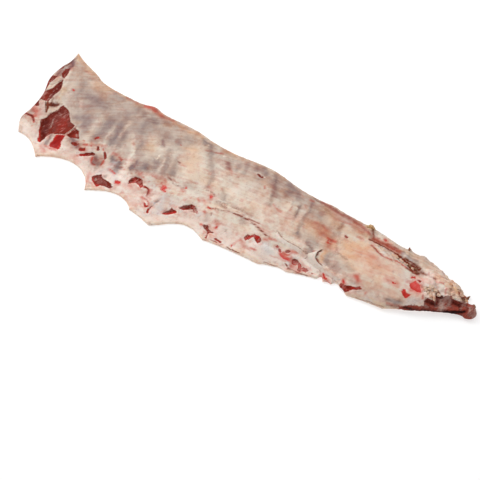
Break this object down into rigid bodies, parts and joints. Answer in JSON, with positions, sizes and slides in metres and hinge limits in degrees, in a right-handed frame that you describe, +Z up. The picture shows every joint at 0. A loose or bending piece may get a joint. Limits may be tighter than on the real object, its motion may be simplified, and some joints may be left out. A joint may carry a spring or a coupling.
{
  "type": "raw beef outside skirt steak",
  "caption": "Long flat raw skirt steak with its membrane on: thin fat fringe with a scalloped rib edge, bared muscle at the broad end, thick tapered tip. Lies flat.",
  "frame": {"origin": "on the resting face, under the middle of the outline's box", "axes": "+X along the steak from the broad cut end to the thick tapered tip, +Y across it from the scalloped rib edge to the smooth loin edge, +Z up from the resting face"},
  "size_m": [0.6426, 0.1774, 0.0271],
  "materials": {
    "membrane_and_meat": "moist, satin, mottled cream membrane and fat over dark red muscle"
  },
  "bodies": {
    "root": {"skirt_steak": "membrane_and_meat"}
  },
  "joints": []
}
